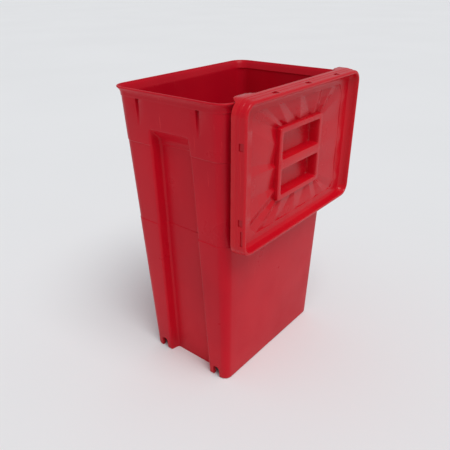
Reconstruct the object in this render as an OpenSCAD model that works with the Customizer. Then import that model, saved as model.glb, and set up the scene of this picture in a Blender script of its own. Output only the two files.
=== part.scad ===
// Dog waste bin: a tapered moulded tub and a push-on lid.
// The lid is shown parked: hung by its corner ears over the front rim of the tub.
// Units are millimetres, +Z is up, and the origin is the centre of the base on the ground.
// The front face points along -Y, and the end face with the thumb recesses points along -X.

/* [Tub] */
// Overall height of the tub, ground to rim
tub_h = 640; // [560:5:760]
// Rim width along X, outside
rim_w = 414; // [370:1:480]
// Rim depth along Y, outside
rim_d = 294; // [260:1:350]
// Width of the foot along X
base_w = 347; // [310:1:360]
// Depth of the foot along Y
base_d = 227; // [200:1:236]
// Wall thickness
wall = 3; // [2.4:0.1:4]
// Corner radius of the wall at the top
top_r = 28; // [20:1:36]
// Corner radius of the wall at the foot
base_r = 18; // [12:1:24]
// Height of the floor above the ground
floor_h = 33; // [32:1:50]
// Thickness of the crossed ribs under the floor
rib_t = 3; // [2.4:0.1:4]

/* [Rim] */
// Distance the rim flares out past the wall
rim_over = 7.5; // [5.5:0.5:9]
// Height of the flare under the rim
flare_h = 18; // [14:1:24]
// Thickness of the lip at the top of the rim
rim_lip = 4; // [3:0.5:5]

/* [End channels] */
// Height where the channel starts to ramp in
channel_top = 567; // [480:1:580]
// Length of the ramp at the top of the channel
channel_ramp = 26; // [18:1:40]
// Depth of the channel
channel_deep = 22; // [12:1:26]
// Half width of the channel at its top
channel_half = 51; // [36:1:60]
// Extra half width of the channel at the foot
channel_splay = 11; // [0:1:14]

/* [Bands and recesses] */
// Height of the lower edge of the upper band
band_hi = 531; // [440:1:540]
// Height of the top edge of the lower band
band_lo = 355; // [280:1:400]
// Amount the upper band stands proud
step_hi = 1.5; // [0.5:0.1:2.5]
// Amount the lower band stands proud
step_lo = 1.1; // [0.5:0.1:2]
// Offset of the thumb recesses from the middle of the end face
thumb_y = 78; // [68:1:86]
// Width of a thumb recess
thumb_w = 9; // [7:1:12]
// Depth of a thumb recess at its top
thumb_deep = 7; // [5:1:10]
// Length of a thumb recess
thumb_len = 50; // [35:1:60]
// Offset of the foot notches from the middle of the end face
notch_y = 83; // [74:1:90]
// Width of a foot notch
notch_w = 18; // [12:1:22]
// Height of a foot notch
notch_h = 28; // [18:1:30]

/* [Lid] */
// Gap between the rim and the lid skirt
lid_gap = 1.0; // [0.6:0.1:1.5]
// Wall thickness of the lid
lid_wall = 2.4; // [2:0.1:3]
// Depth of the skirt below the crest
skirt_deep = 30; // [26:1:36]
// Distance from the skirt in to the crest
crest_in = 5.5; // [4:0.5:7]
// Width of the crest
crest_w = 4.6; // [3.5:0.1:6]
// Depth of the flat border below the crest
border_deep = 19; // [14:1:21]
// Outer corner radius of the crest
lid_r = 24; // [18:1:30]

/* [Sunburst panel] */
// Half length of the folded panel
fold_x = 164; // [150:1:172]
// Half depth of the folded panel
fold_y = 121; // [110:1:124]
// Depth of the folds at the frame
fold_deep = 26; // [23:1:28]
// Relief of the folds
fold_relief = 4.5; // [2:0.5:6]

/* [Grip] */
// Length of the grip frame
frame_w = 159; // [140:1:170]
// Depth of the grip frame
frame_d = 150; // [134:1:156]
// Depth of the frame face below the crest
frame_drop = 14.7; // [12:0.1:17]
// Width of the frame border around the pockets
frame_edge = 11; // [9:0.5:14]
// Width of the grip bar between the pockets
bar_w = 20; // [14:1:26]
// Depth of the pocket floors below the crest
pocket_deep = 38.5; // [32:0.5:39]

/* [Corner ears] */
// Distance an ear reaches past the skirt
ear_reach = 12; // [11.5:0.5:13]
// Distance from the middle of the lid to the foot of an ear's ramp
ear_start = 142; // [130:1:146]
// Length of the ramp
ear_ramp = 18; // [12:1:22]
// Length of an ear along its top
ear_len = 30; // [24:1:32]
// Length of the run-out round the corner
ear_tail = 10; // [6:1:12]
// Height of the ear ledge that sits on the rim
ear_ledge = 5.5; // [4:0.5:6]
// Height of the ear tooth behind the rim
ear_tooth = 8.4; // [7:0.1:8.6]
// Length of the ear tooth, clear of the rim's rounded corner
tooth_len = 8; // [5:1:8]

/* [Shoulder] */
// Depth of the lower step in the skirt below the crest
step_low = 20; // [18:1:24]
// Depth of the upper step in the skirt below the crest
step_up = 12; // [10:1:14]
// Length of a catch window
window_len = 14; // [8:1:18]
// Depth of the windows and slots into the shoulder
window_deep = 1.2; // [0.8:0.1:1.5]
// Length of a shoulder slot
slot_len = 31; // [20:1:32]

/* [Parked lid] */
// Sideways offset of the parked lid
park_x = 15; // [0:1:20]
// Gap between the parked skirt and the tub wall
park_gap = 10.5; // [10:0.5:12]
// Lean of the parked lid
park_tilt = 1.0; // [0.6:0.1:1.2]

/* [Hidden] */
$fn = 32;
eps = 0.01;
wall_top = tub_h - flare_h;
wall_w = rim_w - 2 * rim_over;
wall_d = rim_d - 2 * rim_over;
lid_w = rim_w + 2 * (lid_gap + lid_wall);
lid_d = rim_d + 2 * (lid_gap + lid_wall);
lid_corner = lid_r + crest_in;
pocket_w = frame_w - 2 * frame_edge;
pocket_d = (frame_d - 2 * frame_edge - bar_w) / 2;
pocket_y = (bar_w + pocket_d) / 2;
park_y = -(wall_d / 2 + park_gap + skirt_deep) + lid_d / 2 * sin(park_tilt);
ear_in = lid_d / 2 - lid_wall;
ear_mid = skirt_deep + ear_reach / 2;
park_z = tub_h + 0.4 - (ear_in - ear_ledge) * cos(park_tilt) - ear_mid * sin(park_tilt);

// Wall sizes at height z
function w_at(z) = base_w + (wall_w - base_w) * z / wall_top;
function d_at(z) = base_d + (wall_d - base_d) * z / wall_top;
function r_at(z) = base_r + (top_r - base_r) * z / wall_top;

// Radial folds of the lid panel: outer point, inner point, height from 0 in a deep valley to 1 on a crest
fx = fold_x;
fy = fold_y;
gx = frame_w / 2 + 1;
gy = frame_d / 2 + 1;
folds = [
  [fx, -0.86 * fy, gx, -0.84 * gy, 1],
  [fx, -0.42 * fy, gx, -0.50 * gy, 0.5],
  [fx, 0.03 * fy, gx, -0.02 * gy, 1],
  [fx, 0.42 * fy, gx, 0.50 * gy, 0.5],
  [fx, 0.80 * fy, gx, 0.84 * gy, 1],
  [0.93 * fx, fy, gx, gy, 0.5],
  [0.72 * fx, fy, 0.97 * gx, gy, 1],
  [0.50 * fx, fy, 0.92 * gx, gy, 0],
  [0.41 * fx, fy, 0.64 * gx, gy, 1],
  [0.08 * fx, fy, 0.51 * gx, gy, 0],
  [-0.05 * fx, fy, 0, gy, 1],
  [-0.38 * fx, fy, -0.11 * gx, gy, 0],
  [-0.50 * fx, fy, -0.58 * gx, gy, 1],
  [-0.72 * fx, fy, -0.70 * gx, gy, 0],
  [-0.90 * fx, fy, -0.86 * gx, gy, 1],
  [-fx, 0.93 * fy, -gx, gy, 0],
  [-fx, 0.72 * fy, -gx, 0.55 * gy, 1],
  [-fx, 0.20 * fy, -gx, 0.06 * gy, 0],
  [-fx, 0.01 * fy, -gx, -0.04 * gy, 1],
  [-fx, -0.34 * fy, -gx, -0.60 * gy, 0],
  [-fx, -0.72 * fy, -gx, -0.68 * gy, 1],
  [-fx, -0.84 * fy, -gx, -0.95 * gy, 0],
  [-0.90 * fx, -fy, -0.90 * gx, -gy, 1],
  [-0.72 * fx, -fy, -0.78 * gx, -gy, 0.35],
  [-0.50 * fx, -fy, -0.66 * gx, -gy, 1],
  [-0.38 * fx, -fy, -0.13 * gx, -gy, 0.35],
  [-0.05 * fx, -fy, -0.05 * gx, -gy, 1],
  [0.08 * fx, -fy, 0.50 * gx, -gy, 0.35],
  [0.42 * fx, -fy, 0.66 * gx, -gy, 1],
  [0.55 * fx, -fy, 0.92 * gx, -gy, 0.35],
  [0.74 * fx, -fy, 0.97 * gx, -gy, 1],
  [0.94 * fx, -fy, gx, -gy, 0.35],
];

// Node to draw

// ---------- shared shapes ----------

// Rounded rectangle centred on the origin
module rounded(w, d, r) {
  hull()
    for (sx = [-1, 1], sy = [-1, 1])
      translate([sx * (w / 2 - r), sy * (d / 2 - r)])
        circle(r);
}

// Thin rounded slab at height z
module slab(s) {
  translate([0, 0, s[0]])
    linear_extrude(eps)
      rounded(s[1], s[2], s[3]);
}

// Body through a list of [height, width, depth, corner radius] sections
module stack(s) {
  for (i = [0 : len(s) - 2])
    hull() {
      slab(s[i]);
      slab(s[i + 1]);
    }
}

// ---------- tub ----------

// Section of the tub wall at height z, grown along X by step and inset all round
function wall_at(z, step = 0, inset = 0) =
  [z, w_at(z) + 2 * step - 2 * inset, d_at(z) - 2 * inset, max(r_at(z) - inset, 4)];

// Section of the flare, over past the wall and inset all round
function flare_at(z, over, inset = 0) =
  [z, wall_w + 2 * over - 2 * inset, wall_d + 2 * over - 2 * inset, top_r + over / 2 - inset];

// Outside of the tub, before the channels
module tub_outside() {
  stack([
    wall_at(0, step_lo, 4.5),
    wall_at(1.4, step_lo, 2),
    wall_at(4.5, step_lo, 0.4),
    wall_at(8, step_lo),
    wall_at(band_lo - 1.2, step_lo),
    wall_at(band_lo),
    wall_at(band_hi),
    wall_at(band_hi + 1.6, step_hi),
    wall_at(wall_top - 0.6, step_hi),
    flare_at(wall_top, step_hi + 0.4),
    flare_at(wall_top + flare_h * 0.35, max(rim_over * 0.26, step_hi + 0.6)),
    flare_at(wall_top + flare_h * 0.58, rim_over * 0.5),
    flare_at(wall_top + flare_h * 0.75, rim_over * 0.8),
    flare_at(wall_top + flare_h * 0.84, rim_over),
    flare_at(tub_h - 0.9, rim_over),
    flare_at(tub_h - eps, rim_over - 0.9),
  ]);
}

// Inside of the tub above the floor
module tub_inside() {
  stack([
    wall_at(floor_h, 0, wall + 5),
    wall_at(floor_h + 2, 0, wall + 1.6),
    wall_at(floor_h + 6, 0, wall),
    wall_at(wall_top, 0, wall),
    flare_at(wall_top + flare_h * 0.42, rim_over * 0.32, wall),
    flare_at(wall_top + flare_h * 0.8, rim_over * 0.8, rim_lip),
    flare_at(tub_h - 1, rim_over, rim_lip),
    flare_at(tub_h + 1, rim_over, rim_lip - 1.6),
  ]);
}

// Hollow under the floor, less the crossed ribs that reach the ground
module tub_under() {
  difference() {
    stack([
      wall_at(-1, 0, 8.5),
      wall_at(floor_h - wall, 0, 8.5),
    ]);
    for (turn = [0, 90])
      rotate([0, 0, turn])
        cube([base_w, rib_t, 3 * floor_h], center = true);
  }
}

// Plan section of one end channel at height z, grown by g
module channel_slab(z, deep, g) {
  half = channel_half + channel_splay * (1 - z / channel_top);
  face = w_at(z) / 2;
  translate([0, 0, z])
    linear_extrude(eps)
      polygon([
        [-face - 12, -half - 5 - g],
        [-face - 12, half + 5 + g],
        [-face, half + 4 + g],
        [-face + min(3, deep), half + g],
        [-face + deep - 5 + g, half - 3 + g],
        [-face + deep - 1.4 + g, half - 4.6 + g],
        [-face + deep + g, half - 9 + g],
        [-face + deep + g, -half + 9 - g],
        [-face + deep - 1.4 + g, -half + 4.6 - g],
        [-face + deep - 5 + g, -half + 3 - g],
        [-face + min(3, deep), -half - g],
        [-face, -half - 4 - g],
      ]);
}

// End channel, grown by g so that it can also shape the inside
module channel(g = 0) {
  full = channel_top - channel_ramp + g;
  hull() {
    channel_slab(-2, channel_deep, g);
    channel_slab(full, channel_deep, g);
  }
  hull() {
    channel_slab(full - eps, channel_deep, g);
    channel_slab(full + channel_ramp * 0.35, channel_deep * 0.72, g);
  }
  hull() {
    channel_slab(full + channel_ramp * 0.35 - eps, channel_deep * 0.72, g);
    translate([-w_at(channel_top) / 2 - 6 + g, 0, channel_top + g])
      cube([10, 2 * channel_half - 4 + 2 * g, eps], center = true);
  }
}

// Thumb recess at y, deepest at the top and grown by g
module thumb(y, g = 0) {
  top = wall_top - 1.5;
  face_top = w_at(top) / 2 + step_hi;
  face_low = w_at(top - thumb_len) / 2 + step_hi;
  hull() {
    translate([-face_top - 6, y - thumb_w / 2 - g, top + g])
      cube([6 + thumb_deep + g, thumb_w + 2 * g, eps]);
    translate([-face_low - 6, y - thumb_w / 3 - g, top - thumb_len - g])
      cube([6 + g, thumb_w * 2 / 3 + 2 * g, eps]);
  }
}

// Arched notch in the foot at y, through the skirt of both ends
module notch(y) {
  reach = base_w / 2 - 20;
  for (side = [-1, 1])
    hull() {
      translate([side * reach, y - notch_w / 2, -2])
        cube([eps, notch_w, eps]);
      translate([side * (reach + 40), y - notch_w / 2, -2])
        cube([eps, notch_w, eps]);
      translate([side * (reach + 20), y, notch_h - notch_w / 2])
        rotate([0, 90, 0])
          cylinder(h = 40, d = notch_w, center = true);
    }
}

module tub() {
  color("#c81f2c")
    difference() {
      tub_outside();
      for (turn = [0, 180])
        rotate([0, 0, turn])
          channel();
      for (side = [-1, 1])
        thumb(side * thumb_y);
      difference() {
        union() {
          tub_inside();
          tub_under();
        }
        for (turn = [0, 180])
          rotate([0, 0, turn])
            channel(wall);
        for (side = [-1, 1])
          thumb(side * thumb_y, wall);
      }
      for (side = [-1, 1])
        notch(side * notch_y);
    }
}

// ---------- lid, in its own frame: +Z is the outward face, the crest is at z = 0 ----------

// Section of the lid at height z, inset from the skirt
function lid_at(z, inset) =
  [z, lid_w - 2 * inset, lid_d - 2 * inset, max(lid_corner - inset, 6)];

// Outside of the lid, skirt and shoulder
module lid_outside() {
  stack([
    lid_at(-skirt_deep, 0),
    lid_at(-step_low - 0.5, 0.4),
    lid_at(-step_low + 0.4, 1.2),
    lid_at(-step_up - 0.5, 1.5),
    lid_at(-step_up + 0.4, 2.3),
    lid_at(-2.6, 3.2),
    lid_at(-0.9, crest_in - 0.6),
    lid_at(-eps, crest_in + 0.5),
  ]);
}

// Room inside the skirt
module lid_room() {
  stack([
    lid_at(-skirt_deep - 1, lid_wall),
    lid_at(-step_low, 1.2 + lid_wall),
    lid_at(-step_up, 2.3 + lid_wall),
    lid_at(-3, crest_in + 0.6),
  ]);
}

// Tray outline: crest inner edge, sloping wall and flat border
module tray_sides(drop, grow) {
  stack([
    lid_at(-border_deep - drop, crest_in + crest_w + 13 - grow),
    lid_at(-border_deep + 0.8 - drop, crest_in + crest_w + 8.6 - grow),
    lid_at(-border_deep + 3 - drop, crest_in + crest_w + 5.2 - grow),
    lid_at(-border_deep + 7 - drop, crest_in + crest_w + 2.8 - grow),
    lid_at(-4, crest_in + crest_w + 0.7 - grow),
    lid_at(-1, crest_in + crest_w - grow),
    lid_at(1 - min(drop, 2), crest_in + crest_w - 0.6 - grow),
  ]);
}

// Folded panel between the border and the grip frame
module tray_folds(drop, grow) {
  n = len(folds);
  top = -border_deep - drop + 4;
  out = [for (f = folds) [f[0] + sign(f[0]) * grow, f[1] + sign(f[1]) * grow]];
  points = concat(
    [for (p = out) [p[0], p[1], top]],
    [for (i = [0 : n - 1])
      [out[i][0], out[i][1], -border_deep - drop - 0.2 - fold_relief * 0.65 * (1 - folds[i][4])]],
    [for (f = folds)
      [f[2], f[3], -fold_deep - drop + fold_relief * f[4]]],
    [[0, 0, top], [0, 0, -fold_deep - drop]]
  );
  faces = concat(
    [for (i = [0 : n - 1]) [3 * n, (i + 1) % n, i]],
    [for (i = [0 : n - 1]) [i, (i + 1) % n, n + (i + 1) % n]],
    [for (i = [0 : n - 1]) [i, n + (i + 1) % n, n + i]],
    [for (i = [0 : n - 1]) [n + i, n + (i + 1) % n, 2 * n + (i + 1) % n]],
    [for (i = [0 : n - 1]) [n + i, 2 * n + (i + 1) % n, 2 * n + i]],
    [for (i = [0 : n - 1]) [2 * n + i, 2 * n + (i + 1) % n, 3 * n + 1]]
  );
  polyhedron(points, faces);
}

// Grip frame block
module frame_block() {
  stack([
    [-fold_deep - lid_wall + 0.9, frame_w + 3.4, frame_d + 3.4, 10],
    [-frame_drop - 1, frame_w, frame_d, 9],
    [-frame_drop, frame_w - 1.6, frame_d - 1.6, 8.2],
  ]);
}

// Finger pocket, grown by g
module pocket(g = 0) {
  hull() {
    slab([-pocket_deep - g, pocket_w - 8 + 2 * g, pocket_d - 6 + 2 * g, 3 + g]);
    slab([-pocket_deep + 3 - g, pocket_w - 4 + 2 * g, pocket_d - 3 + 2 * g, 4 + g]);
    slab([g > 0 ? -frame_drop - 0.5 : 2, pocket_w + 2 * g, pocket_d + 2 * g, 4 + g]);
  }
}

// Catch window in the shoulder, on a side at distance s
module window(s) {
  translate([0, s, (-step_up - 3.5) / 2 - 1.3])
    cube([window_len, 2 * (2.3 + window_deep), step_up - 2.5], center = true);
}

// Long slot in the shoulder near one corner, on a side at distance s
module slot(s) {
  translate([0, s, -6.4])
    cube([slot_len, 2 * (2.9 + window_deep), 5], center = true);
}

// Catch inside the skirt below a window
module catch(s) {
  hull() {
    translate([-7, s - lid_wall - 2.4, -skirt_deep + 5])
      cube([14, 2.4 + lid_wall / 2, 0.6]);
    translate([-7, s - lid_wall, -skirt_deep + 0.6])
      cube([14, lid_wall / 2, 0.6]);
  }
}

// Ear on the +X +Y corner: raised skirt, ledge that sits on the rim, and tooth behind it
module ear() {
  low = -skirt_deep + 1;
  tip = -skirt_deep - ear_reach;
  full = ear_start + ear_ramp;
  inner = lid_d / 2 - lid_wall;
  intersection() {
    translate([0, 0, tip])
      linear_extrude(low - tip)
        difference() {
          rounded(lid_w - 0.3, lid_d - 0.3, lid_corner);
          rounded(lid_w - 2 * lid_wall + 0.2, lid_d - 2 * lid_wall + 0.2, lid_corner - lid_wall);
        }
    translate([0, lid_d / 2 + 1, 0])
      rotate([90, 0, 0])
        linear_extrude(26)
          polygon([
            [ear_start - 2, low + 1],
            [ear_start, low],
            [ear_start + ear_ramp * 0.45, (low + 2 * tip) / 3],
            [full, tip],
            [full + ear_len, tip],
            [full + ear_len + ear_tail, low + 1],
          ]);
  }
  translate([full - 3, inner - ear_ledge, tip + 4])
    cube([ear_len - 6, ear_ledge + 1, ear_reach - 5.5]);
  hull() {
    translate([full - 2.5, inner - ear_tooth, tip + 1])
      cube([tooth_len, ear_tooth + 1, 1.6]);
    translate([full - 2.5, inner - 4, tip + 0.4])
      cube([tooth_len, 5, 1]);
  }
}

// Short webs inside the crest that stop the rim
module stop_webs() {
  for (side = [-1, 1]) {
    for (x = [-150, -75, 75, 150])
      translate([x * lid_w / 422, side * (lid_d / 2 - 6.5), -12.6])
        cube([2, 7, 7], center = true);
    for (y = [-90, 0, 90])
      translate([side * (lid_w / 2 - 6.5), y * lid_d / 302, -12.6])
        cube([7, 2, 7], center = true);
  }
}

module lid_shape() {
  difference() {
    union() {
      difference() {
        lid_outside();
        lid_room();
      }
      difference() {
        union() {
          tray_sides(lid_wall, lid_wall);
          tray_folds(lid_wall, lid_wall);
          stop_webs();
        }
        translate([0, 0, 9.2])
          cube([lid_w, lid_d, 20], center = true);
      }
    }
    tray_sides(0, 0);
    tray_folds(0, 0);
    for (a = [0, 180])
      rotate([0, 0, a]) {
        for (x = [-111, 0, 111])
          translate([x * lid_w / 422, 0, 0])
            window(lid_d / 2);
        for (y = [-72, 72])
          rotate([0, 0, 90])
            translate([y * lid_d / 302, 0, 0])
              window(lid_w / 2);
        rotate([0, 0, 90])
          translate([-104 * lid_d / 302, 0, 0])
            slot(lid_w / 2);
      }
  }
  for (a = [0, 180])
    rotate([0, 0, a]) {
      for (x = [-111, 0, 111])
        translate([x * lid_w / 422, 0, 0])
          catch(lid_d / 2);
      for (y = [-72, 72])
        rotate([0, 0, 90])
          translate([y * lid_d / 302, 0, 0])
            catch(lid_w / 2);
      ear();
      mirror([1, 0, 0])
        ear();
    }
}

module lid_flat() {
  difference() {
    union() {
      difference() {
        union() {
          lid_shape();
          frame_block();
        }
        translate([0, 0, -frame_drop - lid_wall - 25])
          linear_extrude(25)
            rounded(frame_w - 2 * lid_wall, frame_d - 2 * lid_wall, 7);
      }
      for (side = [-1, 1])
        translate([0, side * pocket_y, 0])
          pocket(lid_wall);
    }
    for (side = [-1, 1])
      translate([0, side * pocket_y, 0])
        pocket();
  }
}

// Parked on the front rim
module lid() {
  color("#d0222e")
    translate([park_x, park_y, park_z])
      rotate([90 + park_tilt, 0, 0])
        lid_flat();
}

tub();
lid();
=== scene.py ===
"""Dog waste bin: a red moulded tub with its lid hung on the front rim.

The two mouldings are built here as closed, filleted meshes that stand for the CAD nodes.
Sizes are millimetres until a mesh is written, and the scene is in metres, +Z up, in the CAD frame.
"""
import math

import bmesh
import bpy
from mathutils import Matrix, Vector


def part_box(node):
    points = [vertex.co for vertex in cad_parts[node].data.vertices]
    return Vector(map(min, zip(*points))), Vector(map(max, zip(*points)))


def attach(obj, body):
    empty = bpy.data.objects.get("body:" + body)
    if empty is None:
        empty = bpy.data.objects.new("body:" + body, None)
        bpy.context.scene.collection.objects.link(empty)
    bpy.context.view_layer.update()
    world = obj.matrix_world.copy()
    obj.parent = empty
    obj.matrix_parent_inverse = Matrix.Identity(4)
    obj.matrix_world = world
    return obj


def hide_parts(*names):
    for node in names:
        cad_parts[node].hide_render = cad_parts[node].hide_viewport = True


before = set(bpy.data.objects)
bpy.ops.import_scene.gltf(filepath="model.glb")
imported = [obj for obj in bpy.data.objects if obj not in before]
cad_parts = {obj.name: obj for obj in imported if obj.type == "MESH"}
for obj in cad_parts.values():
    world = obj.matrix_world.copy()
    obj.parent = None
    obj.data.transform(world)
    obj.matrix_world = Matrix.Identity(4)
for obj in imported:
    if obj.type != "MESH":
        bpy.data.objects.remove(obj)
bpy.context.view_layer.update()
MM = 0.001

# ---------- sizes, in millimetres ----------

TUB_LOW, TUB_TOP = (Vector(corner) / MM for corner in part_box("tub"))
LID_LOW, LID_TOP = (Vector(corner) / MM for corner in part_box("lid"))

# Tub wall
TUB_H = TUB_TOP.z
BASE_W, BASE_D = 347, 227
WALL = 3
TOP_R, BASE_R = 28, 18
FLOOR_H = 33
RIB = 3
RIM_OVER, FLARE_H = 7.5, 18
WALL_TOP = TUB_H - FLARE_H
WALL_W = TUB_TOP.x - TUB_LOW.x - 2 * RIM_OVER
WALL_D = TUB_TOP.y - TUB_LOW.y - 2 * RIM_OVER
FOOT_ROUND = 4.5
FLOOR_ROUND = 6
SKIRT_IN = 8.5
# Inward bow of the long sides at mid height
WALL_BOW = 0.7

# End channels, thumb recesses, bands and foot notches
CHANNEL_TOP, CHANNEL_DEEP, CHANNEL_HALF, CHANNEL_SPLAY = 567, 22, 51, 11
THUMB_Y, THUMB_W, THUMB_DEEP, THUMB_LEN = 78, 9, 7, 50
BAND_LO, BAND_HI, STEP_LO, STEP_HI = 355, 531, 1.1, 1.5
NOTCH_Y, NOTCH_W, NOTCH_H = 83, 18, 28

# Lid
LID_W, LID_D = 420.8, 300.8
LID_CORNER = 29.5
LID_WALL = 2.4
SKIRT_DEEP, BORDER_DEEP = 30, 19
FOLD_X, FOLD_Y, FOLD_DEEP, FOLD_RELIEF = 164, 121, 26, 4.5
FRAME_W, FRAME_D, FRAME_DROP, FRAME_EDGE, BAR = 159, 150, 14.7, 11, 20
POCKET_W, POCKET_D = FRAME_W - 2 * FRAME_EDGE, (FRAME_D - 2 * FRAME_EDGE - BAR) / 2
POCKET_Y, POCKET_DEEP = (BAR + POCKET_D) / 2, 38.5
EAR_REACH, EAR_START, EAR_RAMP, EAR_LEN, EAR_TAIL = 12, 142, 18, 30, 10
EAR_LEDGE, EAR_TOOTH, TOOTH_LEN = 5.5, 8.4, 8
STEP_LOW, STEP_UP = 20, 12
WINDOW_LEN, WINDOW_DEEP, SLOT_LEN, SLOT_PLACE = 14, 1.2, 31, 104
# Places of the windows, and of the stop webs, along the long and the short sides
WINDOWS_LONG, WINDOWS_SHORT = (-111, 0, 111), (-72, 72)
WEBS_LONG, WEBS_SHORT = (-150, -75, 75, 150), (-90, 0, 90)

# Parked pose of the lid
PARK_GAP, PARK_LIFT = 10.5, 0.4
PARK_TILT = math.radians(1.0)
PARK_X = (LID_LOW.x + LID_TOP.x) / 2
PARK_Y = -(WALL_D / 2 + PARK_GAP + SKIRT_DEEP) + LID_D / 2 * math.sin(PARK_TILT)
PARK_Z = (
    TUB_H + PARK_LIFT
    - (LID_D / 2 - LID_WALL - EAR_LEDGE) * math.cos(PARK_TILT)
    - (SKIRT_DEEP + EAR_REACH / 2) * math.sin(PARK_TILT)
)


# ---------- small helpers ----------


def along(points, x):
    """Value at x of a polyline of (x, value) points."""
    if x <= points[0][0]:
        return points[0][1]
    for (x0, y0), (x1, y1) in zip(points, points[1:]):
        if x <= x1:
            return y0 + (y1 - y0) * (x - x0) / (x1 - x0)
    return points[-1][1]


def bend(a, b, c, n):
    """n + 1 points from a to c, rounded towards b."""
    out = []
    for k in range(n + 1):
        t = k / n
        out.append(tuple(
            (1 - t) ** 2 * p + 2 * t * (1 - t) * q + t * t * r for p, q, r in zip(a, b, c)
        ))
    return out


def loop_verts(bm, points):
    return [bm.verts.new(p) for p in points]


def bridge(bm, a, b):
    """Quads between two closed loops of the same length."""
    for k in range(len(a)):
        j = (k + 1) % len(a)
        bm.faces.new((a[k], a[j], b[j], b[k]))


def skin(bm, loops):
    """Bridges a list of point loops and returns the vertex loops."""
    rows = [loop_verts(bm, points) for points in loops]
    for a, b in zip(rows, rows[1:]):
        bridge(bm, a, b)
    return rows


def cap(bm, row):
    bm.faces.new(row)


def loop_edges(bm, row):
    return [bm.edges.get((row[k], row[(k + 1) % len(row)])) or
            bm.edges.new((row[k], row[(k + 1) % len(row)])) for k in range(len(row))]


def fill_between(bm, rows):
    """Flat face inside the first loop with the other loops left as holes."""
    edges = [e for row in rows for e in loop_edges(bm, row)]
    bmesh.ops.triangle_fill(bm, use_beauty=True, use_dissolve=False, edges=edges)


def box_mesh(bm, low, high):
    grid = [[bm.verts.new((x, y, z)) for y in (low[1], high[1]) for x in (low[0], high[0])]
            for z in (low[2], high[2])]
    order = (0, 1, 3, 2)
    a, b = ([row[k] for k in order] for row in grid)
    bridge(bm, a, b)
    bm.faces.new(reversed(a))
    bm.faces.new(b)


def prism(bm, outline, near, far):
    """Closed prism: the 2-D outline placed by the functions near and far."""
    a = loop_verts(bm, [near(p) for p in outline])
    b = loop_verts(bm, [far(p) for p in outline])
    bridge(bm, a, b)
    bm.faces.new(list(reversed(a)))
    bm.faces.new(b)


def write_mesh(name, bm, scale=MM):
    bmesh.ops.recalc_face_normals(bm, faces=bm.faces)
    mesh = bpy.data.meshes.new(name)
    bm.to_mesh(mesh)
    bm.free()
    mesh.transform(Matrix.Scale(scale, 4))
    obj = bpy.data.objects.new(name, mesh)
    bpy.context.collection.objects.link(obj)
    return obj


def combine(obj, tool, how):
    """Applies an exact boolean with the tool, then removes the tool."""
    mod = obj.modifiers.new(how.lower(), "BOOLEAN")
    mod.operation = how
    mod.solver = "EXACT"
    mod.use_self = how == "UNION"
    mod.object = tool
    graph = bpy.context.evaluated_depsgraph_get()
    mesh = bpy.data.meshes.new_from_object(obj.evaluated_get(graph))
    obj.modifiers.clear()
    old, obj.data = obj.data, mesh
    bpy.data.meshes.remove(old)
    bpy.data.objects.remove(tool, do_unlink=True)


def finish_piece(obj, body, node, mat, sharp=34):
    mesh = obj.data
    mesh.materials.clear()
    mesh.materials.append(mat)
    mesh.polygons.foreach_set("use_smooth", [True] * len(mesh.polygons))
    mesh.set_sharp_from_angle(angle=math.radians(sharp))
    obj.name = node + "_moulding"
    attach(obj, body)
    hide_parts(node)


# ---------- tub ----------

# Channel flank as (distance past the half width, depth), from the channel floor out to the face
FLANK = (
    bend((-9.5, CHANNEL_DEEP), (-4.3, CHANNEL_DEEP), (-3.2, CHANNEL_DEEP - 5.5), 6)
    + bend((-0.6, 4.5), (0.2, 0), (5, 0), 6)
)
# Thumb recess across its width, as (distance past the half width, share of the depth)
THUMB_EDGE = [(-2.0, 1), (-0.5, 0.92), (0.3, 0.12), (2.0, 0)]
RAMP = [(538, 1), (541.5, 0.985), (545, 0.9), (550, 0.72), (560, 0.28), (564, 0.1), (566, 0.02), (567.5, 0)]
CORNER_STEPS, LONG_STEPS = 10, 18


def tub_step(z):
    """Distance that the bands stand proud of the end faces at height z."""
    return along([
        (0, STEP_LO), (BAND_LO - 1.2, STEP_LO), (BAND_LO, 0), (BAND_HI, 0),
        (BAND_HI + 1.6, STEP_HI), (WALL_TOP - 0.6, STEP_HI), (WALL_TOP, 0),
    ], z)


def thumb_depth(z):
    return along([(WALL_TOP - 1.5 - THUMB_LEN, 0), (WALL_TOP - 1.5, THUMB_DEEP), (WALL_TOP - 0.7, 0)], z)


def end_stations(z, grow, reach):
    """(y, share of the channel depth, share of the thumb depth) from the middle to the corner."""
    half = CHANNEL_HALF + CHANNEL_SPLAY * (1 - min(z, CHANNEL_TOP) / CHANNEL_TOP) + grow
    out = [(k / 5 * (half - 9.5), 1, 0) for k in range(5)]
    out += [(half + y, d / CHANNEL_DEEP, 0) for y, d in FLANK]
    middle = THUMB_Y + 5 * max(0, 1 - z / 560)
    share = min(max((z - WALL_TOP + THUMB_LEN) / THUMB_LEN, 0), 1)
    wide = THUMB_W * (1 / 3 + share / 6) + (grow if z > 560 else 0)
    out += [(middle - wide - y, 0, t) for y, t in reversed(THUMB_EDGE)]
    out += [(middle + wide + y, 0, t) for y, t in THUMB_EDGE]
    out.append((reach, 0, 0))
    return out


def arc(cx, cy, r, start):
    """Points strictly inside a quarter turn."""
    return [
        (cx + r * math.cos(start + math.pi / 2 * k / CORNER_STEPS),
         cy + r * math.sin(start + math.pi / 2 * k / CORNER_STEPS))
        for k in range(1, CORNER_STEPS)
    ]


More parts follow.
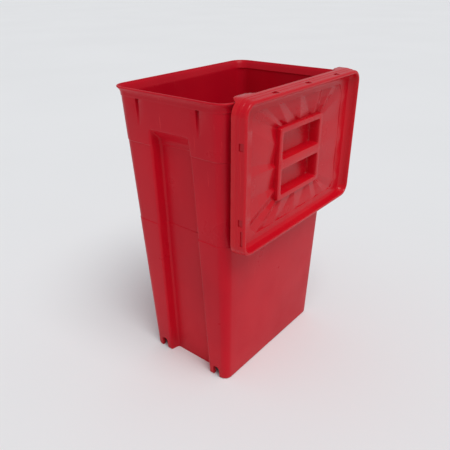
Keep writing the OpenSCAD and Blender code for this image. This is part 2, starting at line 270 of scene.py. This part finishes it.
def tub_ring(z, over=0.0, inset=0.0, base=0.0, grow=0.0, lift=0.0):
    """One loop of the tub's skin at height z, over past the wall and inset from it."""
    t = min(z, WALL_TOP) / WALL_TOP
    face = (BASE_W + (WALL_W - BASE_W) * t) / 2 + over + tub_step(z)
    b = (BASE_D + (WALL_D - BASE_D) * t) / 2 + over - inset
    r = max(BASE_R + (TOP_R - BASE_R) * t + over / 2 - inset, 4)
    a = face - inset
    half = end_stations(z, grow, b - r)
    full = [(-y, c, d) for y, c, d in reversed(half[1:])] + half
    channel = CHANNEL_DEEP * along(RAMP, z - lift)
    thumb = thumb_depth(z - lift / 3)
    bow = WALL_BOW * math.sin(math.pi * min(max(z / WALL_TOP, 0), 1))
    points = [(face - max(inset, base + c * channel), y) for y, c, d in full]
    points += arc(a - r, b - r, r, 0)
    for k in range(LONG_STEPS + 1):
        u = k / LONG_STEPS
        points.append(((a - r) * (1 - 2 * u), b - bow * math.sin(math.pi * u)))
    points += arc(-(a - r), b - r, r, math.pi / 2)
    points += [(-face + max(inset, base + c * channel + d * thumb), y) for y, c, d in reversed(full)]
    points += arc(-(a - r), -(b - r), r, math.pi)
    for k in range(LONG_STEPS + 1):
        u = k / LONG_STEPS
        points.append(((a - r) * (2 * u - 1), -b + bow * math.sin(math.pi * u)))
    points += arc(a - r, -(b - r), r, 1.5 * math.pi)
    return [(x, y, z) for x, y in points]


def tub_loops():
    """Loops from the hollow under the floor, over the foot, up the outside and down the inside."""
    loops = [
        tub_ring(FLOOR_H - WALL, inset=SKIRT_IN, base=WALL, grow=WALL),
        tub_ring(0.5, inset=SKIRT_IN, base=WALL, grow=WALL),
        tub_ring(0, inset=SKIRT_IN - 0.5, base=WALL - 0.5, grow=WALL - 0.5),
    ]
    for k in range(6):
        turn = math.pi / 2 * k / 5
        loops.append(tub_ring(
            FOOT_ROUND * (1 - math.cos(turn)), inset=FOOT_ROUND * (1 - math.sin(turn))
        ))
    heights = [8, 14, 20, 26, 32, 45, 70]
    heights += [100 + 36 * k for k in range(7)]
    heights += [BAND_LO + d for d in (-15, -3, -1.5, -1.2, -0.6, 0, 0.8)]
    heights += [380 + 36 * k for k in range(5)]
    heights += [BAND_HI + d for d in (-1, -0.2, 0.3, 0.9, 1.4, 2.0, 3.5)]
    heights += [538, 541, 543, 546, 550, 554, 558, 561, 563.5, 565, 566.2, 567.5, 569]
    heights += [WALL_TOP - 1.5 - THUMB_LEN * (1 - k / 8) for k in range(9)]
    heights += [WALL_TOP - 1.1, WALL_TOP - 0.7]
    loops += [tub_ring(z) for z in heights]
    flare = [
        (0, 1.75), (3, 1.9), (6, 2.15), (8.5, 2.8), (10.5, 3.75), (12.2, 4.9), (13.6, 6.1),
        (14.6, 7.0), (15.3, 7.45), (16.2, 7.5), (17.0, 7.4), (17.6, 7.0), (17.93, 6.3), (18, 5.6),
    ]
    loops += [tub_ring(WALL_TOP + h, over=min(over, RIM_OVER)) for h, over in flare]
    lip = [
        (18, 4.7), (17.85, 4.0), (17.2, 3.6), (16, 3.2), (14.4, 2.0),
        (11, 0.4), (7.6, -0.6), (3, -2.2), (0.4, -2.9),
    ]
    loops += [tub_ring(WALL_TOP + h, over=net + WALL, inset=WALL, base=WALL) for h, net in lip]
    inside = [WALL_TOP - 1.5 - THUMB_LEN * k / 8 for k in range(8)]
    inside += [570.5, 569.2, 568, 566.5, 564, 561, 557, 553, 549, 546, 544, 541]
    inside += [515 - 43 * k for k in range(11)]
    inside.append(50)
    loops += [tub_ring(z, inset=WALL, base=WALL, grow=WALL, lift=WALL) for z in inside]
    for k in range(7):
        turn = math.pi / 2 * k / 6
        loops.append(tub_ring(
            FLOOR_H + FLOOR_ROUND * (1 - math.sin(turn)), inset=WALL + FLOOR_ROUND * (1 - math.cos(turn)),
            base=WALL, grow=WALL,
        ))
    return loops


def notch_tool():
    """Arched cutters for the foot, two at each end."""
    bm = bmesh.new()
    outline = [(-NOTCH_W / 2, -3), (NOTCH_W / 2, -3)]
    top = NOTCH_H - NOTCH_W / 2
    outline += [
        (NOTCH_W / 2 * math.cos(math.pi * k / 12), top + NOTCH_W / 2 * math.sin(math.pi * k / 12))
        for k in range(13)
    ]
    for side in (-1, 1):
        for y in (-NOTCH_Y, NOTCH_Y):
            near = side * (BASE_W / 2 - 16)
            far = side * (BASE_W / 2 + 14)
            prism(bm, outline, lambda p: (near, y + p[0], p[1]), lambda p: (far, y + p[0], p[1]))
    return write_mesh("notches", bm)


def rib_tool():
    """Crossed ribs under the floor."""
    bm = bmesh.new()
    top = FLOOR_H - 1
    box_mesh(bm, (-BASE_W / 2 + 24, -RIB / 2, 0), (BASE_W / 2 - 24, RIB / 2, top))
    rib = write_mesh("rib_x", bm)
    bm = bmesh.new()
    box_mesh(bm, (-RIB / 2, -BASE_D / 2 + 7, 0), (RIB / 2, BASE_D / 2 - 7, top))
    other = write_mesh("rib_y", bm)
    combine(rib, other, "UNION")
    return rib


def tub(mat):
    bm = bmesh.new()
    rows = skin(bm, tub_loops())
    cap(bm, rows[0])
    cap(bm, rows[-1])
    obj = write_mesh("tub_moulding", bm)
    combine(obj, rib_tool(), "UNION")
    combine(obj, notch_tool(), "DIFFERENCE")
    finish_piece(obj, "tub", "tub", mat)
    return obj


# ---------- lid, in its own frame: +Z is the outward face, the crest is at z = 0 ----------

# Radial folds: outer point as shares of the panel's half sizes, inner point as shares of the grip
# frame's, then the height, from 0 in a deep valley to 1 on a crest
FOLDS = [
    (1, -0.86, 1, -0.84, 1), (1, -0.42, 1, -0.50, 0.5), (1, 0.03, 1, -0.02, 1),
    (1, 0.42, 1, 0.50, 0.5), (1, 0.80, 1, 0.84, 1), (0.93, 1, 1, 1, 0.5),
    (0.72, 1, 0.97, 1, 1), (0.50, 1, 0.92, 1, 0), (0.41, 1, 0.64, 1, 1),
    (0.08, 1, 0.51, 1, 0), (-0.05, 1, 0, 1, 1), (-0.38, 1, -0.11, 1, 0),
    (-0.50, 1, -0.58, 1, 1), (-0.72, 1, -0.70, 1, 0), (-0.90, 1, -0.86, 1, 1),
    (-1, 0.93, -1, 1, 0), (-1, 0.72, -1, 0.55, 1), (-1, 0.20, -1, 0.06, 0),
    (-1, 0.01, -1, -0.04, 1), (-1, -0.34, -1, -0.60, 0), (-1, -0.72, -1, -0.68, 1),
    (-1, -0.84, -1, -0.95, 0), (-0.90, -1, -0.90, -1, 1), (-0.72, -1, -0.78, -1, 0.35),
    (-0.50, -1, -0.66, -1, 1), (-0.38, -1, -0.13, -1, 0.35), (-0.05, -1, -0.05, -1, 1),
    (0.08, -1, 0.50, -1, 0.35), (0.42, -1, 0.66, -1, 1), (0.55, -1, 0.92, -1, 0.35),
    (0.74, -1, 0.97, -1, 1), (0.94, -1, 1, -1, 0.35),
]
# Places between two folds, with the share that the crease is eased by
FOLD_STEPS = [(0, 0.05), (0.07, 0.02), (0.5, 0), (0.93, 0.02)]

# Outside of the lid as (inset from the skirt, height), from the skirt's edge over the crest to the tray
OUTSIDE = [
    (0.5, -30), (0.05, -29.6), (0.38, -STEP_LOW - 0.9), (0.5, -STEP_LOW - 0.4), (1.05, -STEP_LOW + 0.1),
    (1.2, -STEP_LOW + 0.6), (1.48, -STEP_UP - 0.9), (1.62, -STEP_UP - 0.4), (2.15, -STEP_UP + 0.1),
    (2.3, -STEP_UP + 0.6), (3.0, -4.0), (3.3, -2.6), (3.9, -1.5), (4.8, -0.65), (5.8, -0.15), (6.8, 0),
    (8.2, 0), (9.2, -0.2), (9.8, -0.8), (10.2, -1.9), (10.8, -4), (11.7, -8), (12.9, -12), (14.0, -14.2),
    (15.4, -16.0), (17.3, -17.4), (19.8, -18.4), (23.1, -BORDER_DEEP),
]
# Inside of the lid, from the skirt's edge up under the crest and down behind the tray
INSIDE = [
    (2.1, -30), (2.4, -29.6), (3.6, -STEP_LOW), (4.7, -STEP_UP), (5.9, -3.4), (6.3, -3), (7.4, -3),
    (7.8, -3.5), (8.5, -6.5), (10.5, -14.4), (12.9, -18.4), (16.3, -20.6), (20.7, -BORDER_DEEP - LID_WALL),
]


def rounded(a, b, r, z, cx=0.0, cy=0.0, long=24, short=18, turn=8):
    """Rounded rectangle of half sizes a and b, counted the same way for every call."""
    out = []
    for k in range(short + 1):
        out.append((a, (b - r) * (2 * k / short - 1)))
    for k in range(1, turn):
        t = math.pi / 2 * k / turn
        out.append((a - r + r * math.cos(t), b - r + r * math.sin(t)))
    for k in range(long + 1):
        out.append(((a - r) * (1 - 2 * k / long), b))
    for k in range(1, turn):
        t = math.pi / 2 * (1 + k / turn)
        out.append((-(a - r) + r * math.cos(t), b - r + r * math.sin(t)))
    half = len(out)
    out += [(-x, -y) for x, y in out[:half]]
    return [(x + cx, y + cy, z) for x, y in out]


def lid_ring(inset, z):
    return rounded(LID_W / 2 - inset, LID_D / 2 - inset, max(LID_CORNER - inset, 6), z)


def snap(x, y, a, b, r):
    """Nearest point on a rounded rectangle's outline for a point on its square outline."""
    x = max(-a, min(a, x))
    y = max(-b, min(b, y))
    cx, cy = math.copysign(a - r, x), math.copysign(b - r, y)
    dx, dy = x - cx, y - cy
    if dx * cx > 0 and dy * cy > 0:
        size = math.hypot(dx, dy)
        return cx + dx / size * r, cy + dy / size * r
    return x, y


def fold_line(k, t, ease):
    """Outer point, inner point and height at share t between fold k and the next one."""
    f, g = FOLDS[k], FOLDS[(k + 1) % len(FOLDS)]
    e = FOLDS[k - 1]
    u = [p + (q - p) * t for p, q in zip(f, g)]
    height = u[4]
    if t == 0:
        height += ease * ((e[4] + g[4]) / 2 - f[4])
    return u[0], u[1], u[2], u[3], height


def fold_loops(drop, grow, wall, levels):
    """Loops of the sunburst panel and of the wall of the grip frame inside it."""
    lines = [fold_line(k, t, ease) for k in range(len(FOLDS)) for t, ease in FOLD_STEPS]
    gx, gy = FRAME_W / 2 + 1.2, FRAME_D / 2 + 1.2
    edge, outer, inner = [], [], []
    for ox, oy, ix, iy, height in lines:
        x = ox * FOLD_X + math.copysign(grow, ox) * (abs(ox) == 1 or grow == 0)
        y = oy * FOLD_Y + math.copysign(grow, oy) * (abs(oy) == 1 or grow == 0)
        low = BORDER_DEEP + drop + 0.2 + FOLD_RELIEF * 0.65 * (1 - height)
        edge.append((x, y, -BORDER_DEEP - drop))
        outer.append((x * (1 - 0.7 / FOLD_X), y * (1 - 0.7 / FOLD_Y), -low))
        sx, sy = snap(ix * (gx - wall), iy * (gy - wall), gx - wall, gy - wall, 9.5 - wall)
        inner.append((sx, sy, -FOLD_DEEP - drop + FOLD_RELIEF * height))
    loops = [edge, outer]
    for share in (0.35, 0.7, 1):
        loops.append([
            tuple(p + (q - p) * share for p, q in zip(a, b)) for a, b in zip(outer, inner)
        ])
    for shrink, z in levels:
        a, b = gx - wall - shrink, gy - wall - shrink
        near = [(x * a / (gx - wall), y * b / (gy - wall)) for x, y, _ in inner]
        loops.append([(*snap(x, y, a, b, max(9.5 - wall - shrink, 3)), z) for x, y in near])
    return loops


def pocket_loops(side, rows):
    """Loops down a finger pocket as (amount past the mouth, height) rows."""
    return [
        rounded(POCKET_W / 2 + x, POCKET_D / 2 + y, r, z, cy=side * POCKET_Y, long=12, short=6, turn=5)
        for x, y, r, z in rows
    ]


def tray(bm, rim_row, folds, pocket_rows):
    """Panel from the border's inner loop to the pocket floors."""
    rows = skin(bm, folds)
    fill_between(bm, [rim_row, rows[0]])
    holes = []
    for side in (-1, 1):
        pocket = skin(bm, pocket_loops(side, pocket_rows))
        cap(bm, pocket[-1])
        holes.append(pocket[0])
    fill_between(bm, [rows[-1], *holes])


def lid_shell():
    bm = bmesh.new()
    outside = skin(bm, [lid_ring(inset, z) for inset, z in OUTSIDE])
    inside = skin(bm, [lid_ring(inset, z) for inset, z in INSIDE])
    bridge(bm, outside[0], inside[0])
    face = -FRAME_DROP
    floor_z = -POCKET_DEEP
    tray(
        bm, outside[-1],
        fold_loops(0, 0, 0, [(0.9, face - 1.4), (1.2, face - 0.7), (1.7, face - 0.2), (2.4, face)]),
        [
            (0.9, 0.9, 4.9, face), (0.35, 0.35, 4.35, face - 0.2), (0, 0, 4, face - 0.9),
            (-1.2, -0.9, 4, -26), (-1.9, -1.4, 4, floor_z + 3.2), (-2.3, -1.8, 4, floor_z + 1.6),
            (-3.1, -2.4, 3.6, floor_z + 0.5), (-4.3, -3.3, 3, floor_z),
        ],
    )
    under = face - LID_WALL
    tray(
        bm, inside[-1],
        fold_loops(LID_WALL, LID_WALL, 3.6, [(0.3, under - 1), (0.8, under)]),
        [
            (LID_WALL, LID_WALL, 6.4, under), (LID_WALL - 1.9, LID_WALL - 1.4, 6.4, -POCKET_DEEP + 1),
            (LID_WALL - 2.6, LID_WALL - 2, 6, -POCKET_DEEP - 1.4),
            (LID_WALL - 4, LID_WALL - 3, 5.4, -POCKET_DEEP - LID_WALL),
        ],
    )
    return write_mesh("lid_moulding", bm)


def shoulder_tool():
    """Cutters for the catch windows and the long slots in the shoulder."""
    bm = bmesh.new()
    low, high = -STEP_UP - 1.8, -4.3
    for sign in (-1, 1):
        for x in WINDOWS_LONG:
            reach = LID_D / 2 - 2.3 - WINDOW_DEEP
            box_mesh(bm, *corners(x, sign * reach, sign * (LID_D / 2 + 4), low, high, WINDOW_LEN))
        for y in WINDOWS_SHORT:
            reach = LID_W / 2 - 2.3 - WINDOW_DEEP
            box_mesh(bm, *corners(y, sign * reach, sign * (LID_W / 2 + 4), low, high, WINDOW_LEN, True))
        reach = LID_W / 2 - 2.9 - WINDOW_DEEP
        slot = corners(sign * SLOT_PLACE, sign * reach, sign * (LID_W / 2 + 4), -8.9, -3.9, SLOT_LEN, True)
        box_mesh(bm, *slot)
    return write_mesh("windows", bm)


def ear_line(x):
    """Outer and inner distance from the long axis of the ear's wall at x."""
    out = []
    for half, depth, r in (
        (LID_W / 2 - 0.15, LID_D / 2 - 0.15, LID_CORNER),
        (LID_W / 2 - LID_WALL + 0.1, LID_D / 2 - LID_WALL + 0.1, LID_CORNER - LID_WALL),
    ):
        past = max(0, x - (half - r))
        out.append(depth - r + math.sqrt(max(r * r - past * past, 0)))
    return out


def fittings_tool():
    """Corner ears with ledges and teeth, catches under the windows, and stop webs."""
    bm = bmesh.new()
    low, tip = -SKIRT_DEEP + 1, -SKIRT_DEEP - EAR_REACH
    full, inner = EAR_START + EAR_RAMP, LID_D / 2 - LID_WALL
    rise = [
        (EAR_START - 1.5, low + 0.8), (EAR_START, low), (EAR_START + EAR_RAMP * 0.45, (low + 2 * tip) / 3),
        (full, tip), (full + EAR_LEN, tip), (full + EAR_LEN + EAR_TAIL, low),
    ]
    stations = [EAR_START - 1.5, EAR_START]
    stations += [EAR_START + EAR_RAMP * k / 8 for k in range(1, 9)]
    stations += [full + EAR_LEN * k / 12 for k in range(1, 13)]
    stations += [full + EAR_LEN + EAR_TAIL * k / 8 for k in range(1, 8)]
    for turn in (1, -1):
        for side in (1, -1):
            def at(x, y, z):
                return side * turn * x, turn * y, z
            rows = []
            for x in stations:
                top = along(rise, x)
                far, near = ear_line(x)
                edge = min(0.7, (low + 0.9 - top) / 2)
                rows.append(loop_verts(bm, [
                    at(x, far - 0.02, low + 1.4),
                    at(x, far - 0.02, top + edge),
                    at(x, far - edge * 0.3, top + edge * 0.3),
                    at(x, far - edge, top),
                    at(x, near + edge, top),
                    at(x, near + edge * 0.3, top + edge * 0.3),
                    at(x, near + 0.02, top + edge),
                    at(x, near + 0.02, low + 1.4),
                ]))
            for a, b in zip(rows, rows[1:]):
                bridge(bm, a, b)
            bm.faces.new(rows[0])
            bm.faces.new(rows[-1])
            ledge = [
                (inner + 1, tip + 4), (inner - EAR_LEDGE + 0.5, tip + 4), (inner - EAR_LEDGE, tip + 4.5),
                (inner - EAR_LEDGE, tip + EAR_REACH - 2),
                (inner - EAR_LEDGE + 0.5, tip + EAR_REACH - 1.5),
                (inner + 1, tip + EAR_REACH - 1.5),
            ]
            tooth = [
                (inner + 1, tip + 0.45), (inner - 4, tip + 0.45), (inner - EAR_TOOTH + 0.4, tip + 1),
                (inner - EAR_TOOTH, tip + 1.4), (inner - EAR_TOOTH, tip + 2.3),
                (inner - EAR_TOOTH + 0.3, tip + 2.6),
                (inner + 1, tip + 2.6),
            ]
            prism(bm, ledge, lambda p: at(full - 3, *p), lambda p: at(full - 9 + EAR_LEN, *p))
            prism(bm, tooth, lambda p: at(full - 2.5, *p), lambda p: at(full - 2.5 + TOOTH_LEN, *p))
    for sign in (-1, 1):
        for swap, spots, half in ((False, WINDOWS_LONG, LID_D / 2), (True, WINDOWS_SHORT, LID_W / 2)):
            catch = [
                (half - LID_WALL / 2, -SKIRT_DEEP + 0.6), (half - LID_WALL, -SKIRT_DEEP + 0.6),
                (half - LID_WALL - 2.2, -SKIRT_DEEP + 4.8), (half - LID_WALL - 2.4, -SKIRT_DEEP + 5.2),
                (half - LID_WALL - 2.1, -SKIRT_DEEP + 5.6), (half - LID_WALL / 2 - 0.8, -SKIRT_DEEP + 5.6),
            ]
            for x in spots:
                ends = [
                    lambda p, e=e: (sign * p[0], x + e, p[1]) if swap else (x + e, sign * p[0], p[1])
                    for e in (-7, 7)
                ]
                prism(bm, catch, *ends)
        for x in WEBS_LONG:
            box_mesh(bm, *corners(x, sign * (LID_D / 2 - 10), sign * (LID_D / 2 - 3), -16.1, -9.1, 2))
        for y in WEBS_SHORT:
            box_mesh(bm, *corners(y, sign * (LID_W / 2 - 10), sign * (LID_W / 2 - 3), -16.1, -9.1, 2, True))
    return write_mesh("fittings", bm)


def corners(middle, near, far, low, high, length, swap=False):
    """Low and high corners of a box of that length along one side of the lid."""
    a = (middle - length / 2, min(near, far), low)
    b = (middle + length / 2, max(near, far), high)
    if swap:
        a, b = (a[1], a[0], a[2]), (b[1], b[0], b[2])
    return a, b


def crease_edges(mesh):
    """Edges where two facets of the sunburst meet, in the lid's own frame."""
    bm = bmesh.new()
    bm.from_mesh(mesh)
    out = []
    for e in bm.edges:
        p = (e.verts[0].co + e.verts[1].co) / 2 / MM
        panel = abs(p.x) < FOLD_X and abs(p.y) < FOLD_Y
        grip = abs(p.x) < FRAME_W / 2 + 1 and abs(p.y) < FRAME_D / 2 + 1
        if panel and not grip and len(e.link_faces) == 2 and e.calc_face_angle() > math.radians(1.5):
            out.append(e.index)
    bm.free()
    return out


def place_lid(obj):
    turn = Matrix.Rotation(math.pi / 2 + PARK_TILT, 4, "X")
    obj.data.transform(Matrix.Translation(Vector((PARK_X, PARK_Y, PARK_Z)) * MM) @ turn)


def lid(mat):
    obj = lid_shell()
    combine(obj, fittings_tool(), "UNION")
    combine(obj, shoulder_tool(), "DIFFERENCE")
    creases = crease_edges(obj.data)
    place_lid(obj)
    finish_piece(obj, "lid", "lid", mat, 30)
    for k in creases:
        obj.data.edges[k].use_edge_sharp = True
    return obj


# ---------- materials ----------


class Nodes:
    """Short forms for building a node tree."""

    def __init__(self, name):
        self.mat = bpy.data.materials.new(name)
        self.mat.use_nodes = True
        self.tree = self.mat.node_tree
        self.shader = self.tree.nodes["Principled BSDF"]
        self.place = self.tree.nodes.new("ShaderNodeTexCoord").outputs["Object"]

    def new(self, kind, **values):
        node = self.tree.nodes.new(kind)
        for key, value in values.items():
            setattr(node, key, value)
        return node

    def link(self, a, b):
        self.tree.links.new(a, b)

    def put(self, socket, value):
        if hasattr(value, "is_output"):
            self.link(value, socket)
        else:
            socket.default_value = value

    def math(self, how, a, b=0.0, clamp=False):
        node = self.new("ShaderNodeMath", operation=how, use_clamp=clamp)
        self.put(node.inputs[0], a)
        self.put(node.inputs[1], b)
        return node.outputs[0]

    def stretch(self, scale, turn=(0, 0, 0)):
        node = self.new("ShaderNodeMapping")
        node.inputs["Scale"].default_value = scale
        node.inputs["Rotation"].default_value = turn
        self.link(self.place, node.inputs["Vector"])
        return node.outputs[0]

    def noise(self, scale, detail=3.0, rough=0.5, vector=None):
        node = self.new("ShaderNodeTexNoise")
        node.inputs["Scale"].default_value = scale
        node.inputs["Detail"].default_value = detail
        node.inputs["Roughness"].default_value = rough
        self.link(vector or self.place, node.inputs["Vector"])
        return node.outputs["Fac"]

    def range(self, value, a, b, low, high):
        node = self.new("ShaderNodeMapRange")
        for socket, v in zip(node.inputs[1:5], (a, b, low, high)):
            socket.default_value = v
        self.link(value, node.inputs[0])
        return node.outputs[0]

    def mix(self, share, a, b):
        node = self.new("ShaderNodeMix", data_type="RGBA")
        self.put(node.inputs[0], share)
        for socket, c in ((node.inputs[6], a), (node.inputs[7], b)):
            self.put(socket, c if hasattr(c, "is_output") else (*c, 1))
        return node.outputs[2]

    def bump(self, height, distance, strength, below=None):
        node = self.new("ShaderNodeBump")
        node.inputs["Distance"].default_value = distance
        node.inputs["Strength"].default_value = strength
        self.link(height, node.inputs["Height"])
        if below:
            self.link(below, node.inputs["Normal"])
        return node.outputs[0]


def scratches(n, scale, turn, cut):
    """Thin streaks along one direction, 1 on a streak."""
    lines = n.noise(1.0, 2.0, 0.4, n.stretch(scale, turn))
    return n.range(lines, cut, cut + 0.03, 0.0, 1.0)


def moulded_plastic(name, base, deep, pale, rough, scuff, specular):
    """Glossy moulded plastic: uneven pigment, orange peel, fine scratches, scuffs, worn edges, painted
    shade in the hollows, and a darker, browner base.
    """
    n = Nodes(name)
    cloud = n.range(n.noise(5.5, 3.0), 0.3, 0.7, 0.0, 1.0)
    flow = n.range(n.noise(1.0, 3.0, 0.5, n.stretch((14, 14, 3))), 0.3, 0.7, 0.0, 1.0)
    colour = n.mix(cloud, base, deep)
    colour = n.mix(n.math("MULTIPLY", flow, 0.05), colour, pale)
    # long upright scuffs, fine slanting scratches, and patches where handling left them
    patch = n.range(n.noise(7.0, 2.0), 0.52, 0.66, 0.0, 1.0)
    upright = n.math("MULTIPLY", scratches(n, (420, 420, 2.5), (0, 0, 0), 0.70), patch)
    slant = n.math("MULTIPLY", scratches(n, (50, 900, 240), (0.5, 0.35, 0.7), 0.75), patch)
    marks = n.math("MAXIMUM", upright, slant)
    # convex edges wear paler
    point = n.new("ShaderNodeNewGeometry").outputs["Pointiness"]
    edge = n.range(point, 0.515, 0.60, 0.0, 1.0)
    edge = n.math("MULTIPLY", edge, n.range(n.noise(60.0, 3.0), 0.35, 0.65, 0.25, 1.0))
    worn = n.math("MAXIMUM", n.math("MULTIPLY", marks, scuff), n.math("MULTIPLY", edge, 0.28))
    colour = n.mix(worn, colour, pale)
    # painted shade: concave hollows (low pointiness) are darkened towards a deep red
    hollow = n.range(point, 0.40, 0.485, 0.45, 0.0)
    colour = n.mix(n.math("MULTIPLY", hollow, n.noise(30.0, 3.0)), colour, (0.16, 0.004, 0.008))
    # darker and browner over the lowest 4 cm of the part
    split = n.new("ShaderNodeSeparateXYZ")
    n.link(n.place, split.inputs[0])
    low = n.range(split.outputs["Z"], 0.0, 0.04, 0.14, 0.0)
    colour = n.mix(n.math("MULTIPLY", low, n.noise(45.0, 4.0)), colour, (0.20, 0.05, 0.045))
    n.link(colour, n.shader.inputs["Base Color"])
    gloss = n.range(n.noise(12.0, 4.0, 0.6), 0.3, 0.7, rough - 0.06, rough + 0.08)
    gloss = n.math("ADD", gloss, n.math("MULTIPLY", marks, 0.25))
    n.link(gloss, n.shader.inputs["Roughness"])
    n.shader.inputs["Specular IOR Level"].default_value = specular
    n.shader.inputs["IOR"].default_value = 1.49
    waves = n.bump(n.noise(9.0, 1.0), 0.0008, 0.10)
    peel = n.bump(n.noise(420.0, 2.0), 0.00012, 0.30, waves)
    cuts = n.bump(n.math("MULTIPLY", marks, -1.0), 0.0001, 0.35, peel)
    n.link(cuts, n.shader.inputs["Normal"])
    return n.mat


def floor_paint():
    n = Nodes("floor_paint")
    shade = n.range(n.noise(0.8, 3.0), 0.3, 0.7, 0.0, 1.0)
    n.link(n.mix(shade, (0.86, 0.86, 0.865), (0.84, 0.84, 0.845)), n.shader.inputs["Base Color"])
    n.shader.inputs["Roughness"].default_value = 0.75
    n.shader.inputs["Specular IOR Level"].default_value = 0.2
    grain = n.bump(n.noise(300.0, 3.0), 0.0001, 0.2)
    n.link(grain, n.shader.inputs["Normal"])
    return n.mat


# ---------- camera, light and floor ----------

# Place in metres, angles in degrees, lens in millimetres
CAMERA_PLACE = Vector((-0.836, -0.667, 0.831))
CAMERA_YAW, CAMERA_PITCH, CAMERA_ROLL = 50.917, 26.484, -0.577
CAMERA_LENS = 40.02
CAMERA_SHIFT = (-0.0124, -0.0020)


def camera():
    data = bpy.data.cameras.new("camera")
    data.lens = CAMERA_LENS
    data.sensor_width = 36
    data.shift_x, data.shift_y = CAMERA_SHIFT
    obj = bpy.data.objects.new("camera", data)
    bpy.context.collection.objects.link(obj)
    yaw, pitch, roll = (math.radians(a) for a in (CAMERA_YAW, CAMERA_PITCH, CAMERA_ROLL))
    ahead = Vector((math.sin(yaw) * math.cos(pitch), math.cos(yaw) * math.cos(pitch), -math.sin(pitch)))
    right = Vector((math.cos(yaw), -math.sin(yaw), 0))
    up = right.cross(ahead)
    side = math.cos(roll) * right + math.sin(roll) * up
    over = -math.sin(roll) * right + math.cos(roll) * up
    turn = Matrix((side, over, -ahead)).transposed()
    obj.matrix_world = Matrix.Translation(CAMERA_PLACE) @ turn.to_4x4()
    bpy.context.scene.camera = obj


def sun(name, aim, power, spread, colour=(1, 1, 1)):
    data = bpy.data.lights.new(name, "SUN")
    data.energy = power
    data.angle = math.radians(spread)
    data.color = colour
    obj = bpy.data.objects.new(name, data)
    bpy.context.collection.objects.link(obj)
    obj.rotation_euler = Vector(aim).to_track_quat("-Z", "Y").to_euler()


def lighting():
    world = bpy.data.worlds.new("studio")
    bpy.context.scene.world = world
    world.use_nodes = True
    back = world.node_tree.nodes["Background"]
    back.inputs["Color"].default_value = (0.93, 0.96, 1, 1)
    back.inputs["Strength"].default_value = 0.46
    # the backdrop shows as pale as the floor, while it lights the part less
    tree = world.node_tree
    pale = tree.nodes.new("ShaderNodeBackground")
    pale.inputs["Color"].default_value = (0.98, 0.99, 1, 1)
    pale.inputs["Strength"].default_value = 0.78
    seen = tree.nodes.new("ShaderNodeLightPath").outputs["Is Camera Ray"]
    mix = tree.nodes.new("ShaderNodeMixShader")
    tree.links.new(seen, mix.inputs[0])
    tree.links.new(back.outputs[0], mix.inputs[1])
    tree.links.new(pale.outputs[0], mix.inputs[2])
    tree.links.new(mix.outputs[0], tree.nodes["World Output"].inputs["Surface"])
    sun("overhead", (0.16, 0.50, -1), 1.7, 36)
    bpy.context.scene.view_settings.view_transform = "Standard"


def floor():
    bm = bmesh.new()
    bmesh.ops.create_grid(bm, x_segments=2, y_segments=2, size=60)
    obj = write_mesh("floor", bm, 1)
    obj.data.materials.append(floor_paint())


tub(moulded_plastic(
    "tub_red", base=(0.60, 0.002, 0.015), deep=(0.50, 0.002, 0.014), pale=(0.80, 0.07, 0.07),
    rough=0.32, scuff=0.45, specular=0.15,
))
lid(moulded_plastic(
    "lid_red", base=(0.60, 0.002, 0.012), deep=(0.52, 0.002, 0.013), pale=(0.90, 0.08, 0.06),
    rough=0.22, scuff=0.3, specular=0.22,
))
camera()
lighting()
floor()
